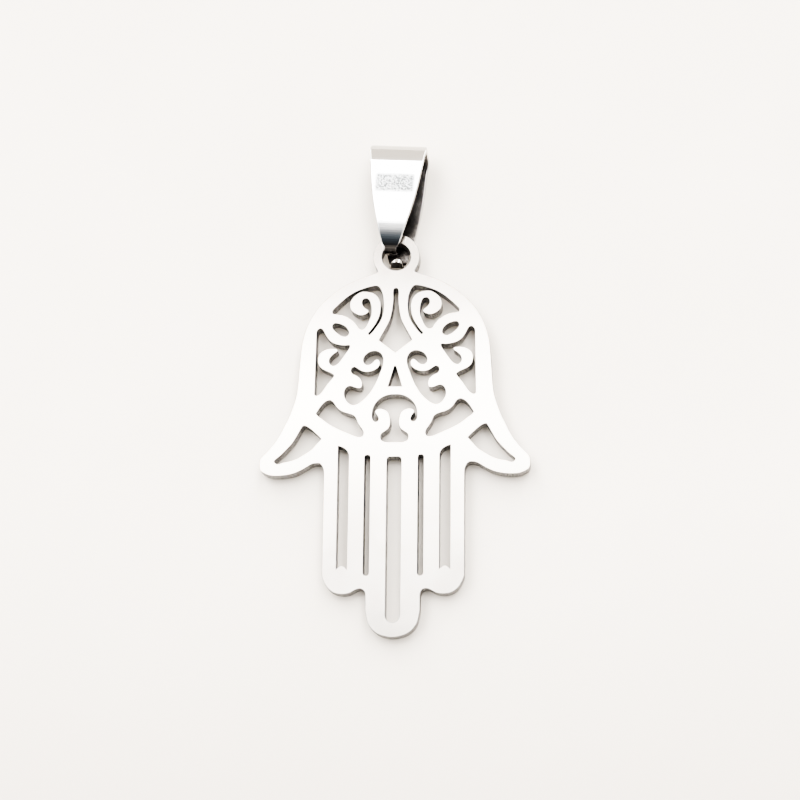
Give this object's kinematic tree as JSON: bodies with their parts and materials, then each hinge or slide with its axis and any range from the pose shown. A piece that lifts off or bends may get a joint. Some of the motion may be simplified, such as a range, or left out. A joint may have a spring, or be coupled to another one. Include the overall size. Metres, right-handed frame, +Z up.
{
  "type": "hamsa pendant with bail",
  "caption": "Flat steel pendant cut as an open hand with pierced scrollwork, lying with a folded strip bail closed through its eye.",
  "frame": {"origin": "on the surface the pendant lies on, below the middle of its bounding box", "axes": "+Y from the finger tips to the bail along the plate, +X across the hand to the right of its front face, +Z up out of the surface, the front face up"},
  "size_m": [0.027, 0.051, 0.0043],
  "materials": {
    "satin_steel": "fine satin face, darker laser-cut walls",
    "polished_steel": "mirror polish with fine scratches"
  },
  "bodies": {
    "root": {"hand_plate": "satin_steel", "bail": "polished_steel"}
  },
  "joints": []
}
